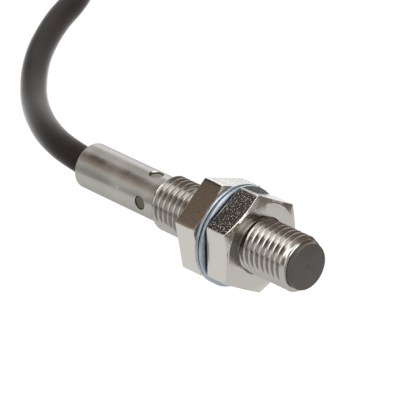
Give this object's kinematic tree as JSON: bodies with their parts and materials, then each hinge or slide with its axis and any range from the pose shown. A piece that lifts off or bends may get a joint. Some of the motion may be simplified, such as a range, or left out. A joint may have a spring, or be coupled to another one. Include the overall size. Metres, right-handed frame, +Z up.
{
  "type": "inductive proximity sensor",
  "caption": "Threaded-barrel inductive proximity sensor with a plastic sensing cap, hexagon nuts, internal-tooth lock washers, side indicator windows and a coiled flying lead.",
  "frame": {"origin": "middle of the sensing face, at the front of the plastic cap", "axes": "+X out of the sensing face along the barrel's axis, +Z up; the sensor lies on its lock washers"},
  "size_m": [0.1737, 0.076, 0.0166],
  "materials": {
    "nickel_plate": "satin nickel plate over turned brass",
    "zinc_plate": "blue-passivated zinc plate on spring steel",
    "cap_plastic": "dark moulded plastic, fine satin",
    "clear_resin": "clear cast resin, slightly smoky",
    "led_lens": "clear lens",
    "ferrite": "sintered, matt",
    "bobbin_plastic": "moulded",
    "enamelled_copper": "enamelled wire",
    "bare_brass": "drawn",
    "board_laminate": "solder mask",
    "chip_resin": "moulded",
    "resistor_film": "glazed",
    "capacitor_ceramic": "fired ceramic",
    "grommet_rubber": "moulded rubber",
    "cable_jacket": "extruded PVC, matt",
    "tie_nylon": "moulded nylon",
    "brown_insulation": "extruded",
    "blue_insulation": "extruded",
    "black_insulation": "extruded",
    "tinned_copper": "tinned strands"
  },
  "bodies": {
    "root": {"housing": "nickel_plate", "sensing_cap": "cap_plastic", "light_ring": "clear_resin", "upper_led": "led_lens", "lower_led": "led_lens", "ferrite_core": "ferrite", "coil_bobbin": "bobbin_plastic", "coil_winding": "enamelled_copper", "coil_lead_start": "enamelled_copper", "coil_lead_end": "enamelled_copper", "shield_ring": "bare_brass", "circuit_board": "board_laminate", "oscillator_chip": "chip_resin", "output_transistor": "chip_resin", "protection_diode": "chip_resin", "cable_grommet": "grommet_rubber", "cable_inner_end": "cable_jacket", "cable": "cable_jacket", "cable_coil": "cable_jacket", "cable_tail": "cable_jacket", "cable_tie": "tie_nylon", "resistor_1": "resistor_film", "resistor_2": "resistor_film", "resistor_3": "resistor_film", "resistor_4": "resistor_film", "capacitor_1": "capacitor_ceramic", "capacitor_2": "capacitor_ceramic", "capacitor_3": "capacitor_ceramic", "brown_core": "brown_insulation", "brown_lead": "brown_insulation", "brown_tip": "tinned_copper", "blue_core": "blue_insulation", "blue_lead": "blue_insulation", "blue_tip": "tinned_copper", "black_core": "black_insulation", "black_lead": "black_insulation", "black_tip": "tinned_copper"},
    "front_washer": {"front_lock_washer": "zinc_plate"},
    "front_nut": {"front_nut": "nickel_plate"},
    "rear_washer": {"rear_lock_washer": "zinc_plate"},
    "rear_nut": {"rear_nut": "nickel_plate"}
  },
  "joints": [
    {"name": "front_washer_slide", "type": "slide", "parent": "root", "child": "front_washer", "axis": [1, 0, 0], "range_m": [0, 0.008]},
    {"name": "front_nut_turn", "type": "hinge", "parent": "front_washer", "child": "front_nut", "pos_m": [-0.01095, 0, 0], "axis": [1, 0, 0], "range_deg": [0, 2880]},
    {"name": "rear_washer_slide", "type": "slide", "parent": "root", "child": "rear_washer", "axis": [1, 0, 0], "range_m": [-0.008, 0]},
    {"name": "rear_nut_turn", "type": "hinge", "parent": "rear_washer", "child": "rear_nut", "pos_m": [-0.01665, 0, 0], "axis": [1, 0, 0], "range_deg": [-2880, 0]}
  ],
  "couplings": [
    {"joint": "front_washer_slide", "follows": "front_nut_turn", "m_per_rad": 0.00015915},
    {"joint": "rear_washer_slide", "follows": "rear_nut_turn", "m_per_rad": 0.00015915}
  ]
}
